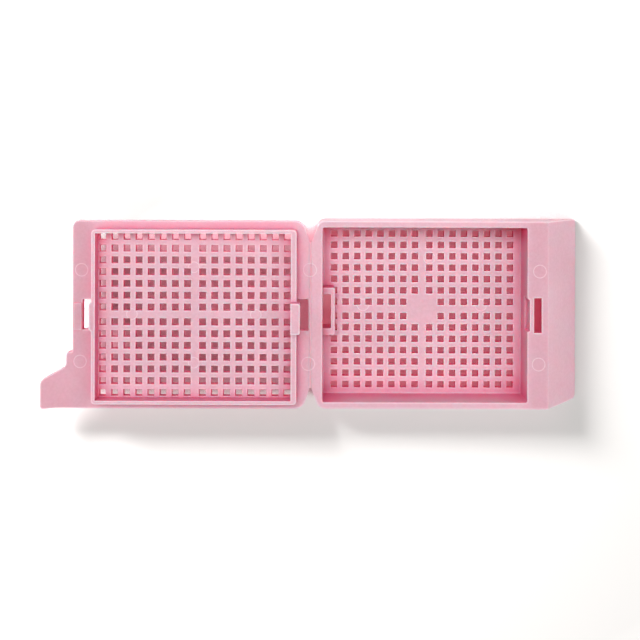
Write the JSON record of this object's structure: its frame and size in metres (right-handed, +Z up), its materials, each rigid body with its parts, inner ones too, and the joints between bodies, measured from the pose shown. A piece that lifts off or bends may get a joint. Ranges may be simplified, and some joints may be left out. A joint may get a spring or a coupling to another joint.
{
  "type": "tissue cassette",
  "caption": "Moulded tissue cassette: perforated tray with a slanted writing face and a perforated lid on a living hinge, lying open.",
  "frame": {"origin": "centre of the tray's well on its underside, on the surface the tray rests on", "axes": "+Z up, +X from the hinge towards the slanted writing face, +Y along the hinge"},
  "size_m": [0.0824, 0.0286, 0.0085],
  "materials": {
    "moulded_plastic": "fine matte pink acetal"
  },
  "bodies": {
    "tray": {"tray": "moulded_plastic", "living_hinge": "moulded_plastic"},
    "lid": {"lid": "moulded_plastic"}
  },
  "joints": [
    {"name": "lid_hinge", "type": "hinge", "parent": "tray", "child": "lid", "pos_m": [-0.01738, 0, 0.0056], "axis": [0, 1, 0], "range_deg": [0, 180], "deforming": ["living_hinge"]}
  ]
}
